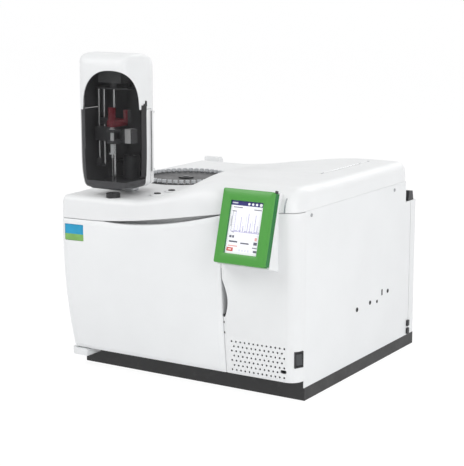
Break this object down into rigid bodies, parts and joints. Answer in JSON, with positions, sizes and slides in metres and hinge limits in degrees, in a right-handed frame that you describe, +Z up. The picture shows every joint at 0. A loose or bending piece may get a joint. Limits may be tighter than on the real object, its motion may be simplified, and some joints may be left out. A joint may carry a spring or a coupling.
{
  "type": "gas chromatograph",
  "caption": "Bench-top gas chromatograph with an oven behind a bowed front door, a swivelling autosampler tower, a vial carousel and a tilted touch screen.",
  "frame": {"origin": "centre of the base's flat underside", "axes": "+X to the right along the front, +Y to the back, +Z up"},
  "size_m": [0.643, 0.7033, 0.779],
  "materials": {
    "base_black": "fine satin grain",
    "sheet_steel": "zinc plated",
    "panel_white": "powder coat",
    "cover_white": "fine moulded grain",
    "fastener": "satin",
    "dark_plastic": "satin",
    "rod_steel": "ground",
    "light_lens": "clear, dark when off",
    "rocker_grey": "satin",
    "bezel_green": "gloss",
    "screen_glass": "display",
    "insulation": "mineral wool",
    "gasket": "woven braid",
    "badge_blue": "bare plate",
    "oven_steel": "brushed",
    "motor_grey": "satin",
    "heater_alloy": "oxidised",
    "column_amber": "polyimide coat",
    "machined_metal": "machined",
    "board_green": "solder mask",
    "brass": "machined",
    "vial_glass": "clear",
    "cap_grey": "satin",
    "tower_grey": "satin",
    "smoked": "smoked clear",
    "carriage_white": "satin",
    "plunger_red": "satin"
  },
  "bodies": {
    "instrument": {"base_tray": "base_black", "chassis": "sheet_steel", "left_side_panel": "panel_white", "right_side_panel": "panel_white", "rear_panel": "panel_white", "panel_screws": "fastener", "side_ports": "dark_plastic", "rear_clips": "dark_plastic", "top_cover": "cover_white", "rear_cowl": "cover_white", "hinge_pins": "rod_steel", "front_column": "cover_white", "intake_grille": "cover_white", "status_light": "light_lens", "front_port": "dark_plastic", "power_switch_frame": "dark_plastic", "screen_pod": "cover_white", "screen_bezel": "bezel_green", "lcd_module": "screen_glass", "stylus": "dark_plastic", "door_hinges": "panel_white", "oven_liner": "oven_steel", "oven_insulation": "insulation", "fan_baffle": "oven_steel", "fan_motor": "motor_grey", "heater_coil": "heater_alloy", "column_cage": "rod_steel", "capillary_column": "column_amber", "exhaust_duct": "sheet_steel", "injector_bodies": "machined_metal", "injector_caps": "dark_plastic", "detector_bodies": "machined_metal", "wash_station": "dark_plastic", "power_supply": "sheet_steel", "control_board": "board_green", "gas_fittings": "brass", "power_inlet": "dark_plastic", "carousel_drive": "motor_grey", "tower_post": "machined_metal"},
    "oven_door": {"door_panel": "cover_white", "door_liner": "sheet_steel", "door_insulation": "insulation", "door_gasket": "gasket", "door_latch": "dark_plastic", "badge_plate": "badge_blue"},
    "detector_hatch": {"detector_lid": "cover_white"},
    "fan": {"oven_fan": "oven_steel"},
    "vent_flap": {"exhaust_flap": "sheet_steel"},
    "rocker": {"power_rocker": "rocker_grey"},
    "carousel": {"carousel_tray": "dark_plastic", "vials": "vial_glass", "vial_caps": "cap_grey"},
    "tower": {"tower_chassis": "tower_grey", "tower_hood": "cover_white", "tower_rods": "rod_steel", "tower_motor": "motor_grey"},
    "tower_window": {"tower_door": "smoked"},
    "needle_carriage": {"syringe_carriage": "carriage_white", "syringe": "vial_glass"},
    "plunger": {"plunger_carriage": "plunger_red"}
  },
  "joints": [
    {"name": "oven_door_hinge", "type": "hinge", "parent": "instrument", "child": "oven_door", "pos_m": [-0.3, -0.33, 0.2], "axis": [0, 0, 1], "range_deg": [-110, 0]},
    {"name": "tower_swivel", "type": "hinge", "parent": "instrument", "child": "tower", "pos_m": [-0.20602, -0.24099, 0.47], "axis": [0, 0, 1], "range_deg": [0, 163.58]},
    {"name": "tower_window_hinge", "type": "hinge", "parent": "tower", "child": "tower_window", "pos_m": [-0.1339, -0.252, 0.56], "axis": [0, 0, 1], "range_deg": [0, 80]},
    {"name": "needle_slide", "type": "slide", "parent": "tower", "child": "needle_carriage", "axis": [0, 0, -1], "range_m": [0, 0.04]},
    {"name": "plunger_slide", "type": "slide", "parent": "needle_carriage", "child": "plunger", "axis": [0, 0, 1], "range_m": [0, 0.045]},
    {"name": "carousel_spin", "type": "hinge", "parent": "instrument", "child": "carousel", "pos_m": [-0.186, -0.03, 0.43], "axis": [0, 0, 1], "continuous": true},
    {"name": "power_rocker_hinge", "type": "hinge", "parent": "instrument", "child": "rocker", "pos_m": [0.30893, -0.31776, 0.104], "axis": [0.4067, 0.9135, 0], "range_deg": [0, 12]},
    {"name": "oven_fan_spin", "type": "hinge", "parent": "instrument", "child": "fan", "pos_m": [-0.095, -0.02, 0.225], "axis": [0, 1, 0], "continuous": true},
    {"name": "vent_flap_hinge", "type": "hinge", "parent": "instrument", "child": "vent_flap", "pos_m": [-0.205, 0.297, 0.347], "axis": [1, 0, 0], "range_deg": [0, 75]},
    {"name": "detector_lid_hinge", "type": "hinge", "parent": "instrument", "child": "detector_hatch", "pos_m": [0.226, 0.067, 0.4908], "axis": [0, 1, 0], "range_deg": [0, 80]}
  ]
}
